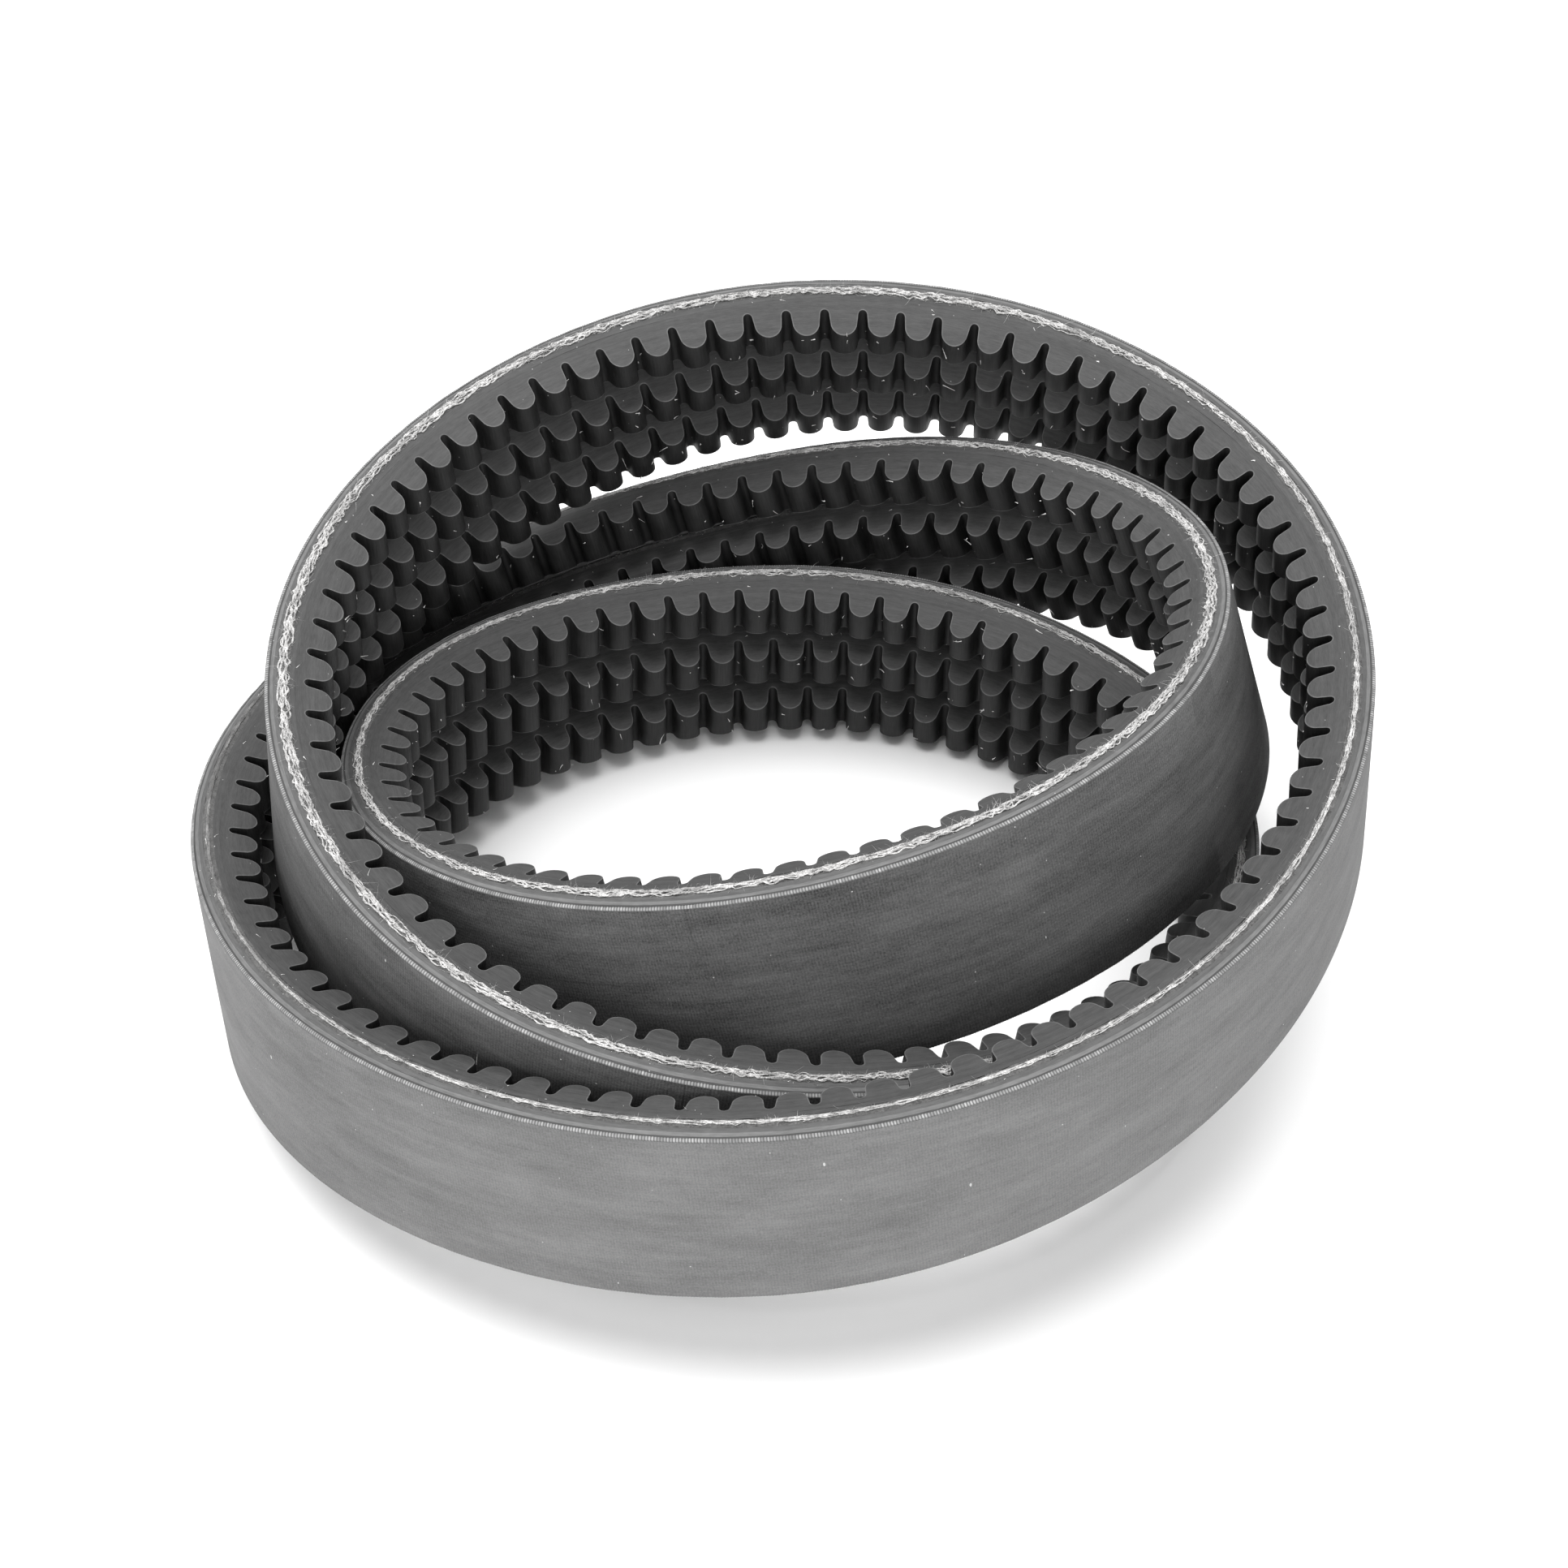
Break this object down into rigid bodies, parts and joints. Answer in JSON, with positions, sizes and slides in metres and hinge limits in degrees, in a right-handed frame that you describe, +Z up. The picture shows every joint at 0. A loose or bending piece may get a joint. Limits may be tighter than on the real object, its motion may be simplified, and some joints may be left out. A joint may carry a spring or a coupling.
{
  "type": "joined cogged v belt",
  "caption": "Endless joined V belt with cogged ribs under one flat tie band, raw cut edges, coiled on edge into loops; transmits power between multi-groove pulleys.",
  "frame": {"origin": "on the floor under the middle of the coil: the centre of the bounding box's base", "axes": "+Z up, across the belt's width; +X along the coil's longer side; the side the picture is taken from is -Y"},
  "size_m": [0.2763, 0.2543, 0.1235],
  "materials": {
    "band_fabric": "matt rubberised weave",
    "skim_rubber": "matt",
    "band_inner_fabric": "matt rubberised weave, raw cut edge",
    "overcord_rubber": "matt, cut face",
    "tensile_cord": "fuzzy cut cord",
    "undercord_gum": "matt, cut face",
    "cog_rubber": "matt, moulded notches and ground sides"
  },
  "bodies": {
    "root": {"tie_band_outer_fabric_ply": "band_fabric", "tie_band_skim_rubber": "skim_rubber", "tie_band_inner_fabric_ply": "band_inner_fabric", "lower_rib_overcord_rubber": "overcord_rubber", "middle_rib_overcord_rubber": "overcord_rubber", "upper_rib_overcord_rubber": "overcord_rubber", "lower_rib_tensile_cord_layer": "tensile_cord", "middle_rib_tensile_cord_layer": "tensile_cord", "upper_rib_tensile_cord_layer": "tensile_cord", "lower_rib_undercord_gum": "undercord_gum", "middle_rib_undercord_gum": "undercord_gum", "upper_rib_undercord_gum": "undercord_gum", "lower_rib_cogged_rubber": "cog_rubber", "middle_rib_cogged_rubber": "cog_rubber", "upper_rib_cogged_rubber": "cog_rubber"}
  },
  "joints": []
}
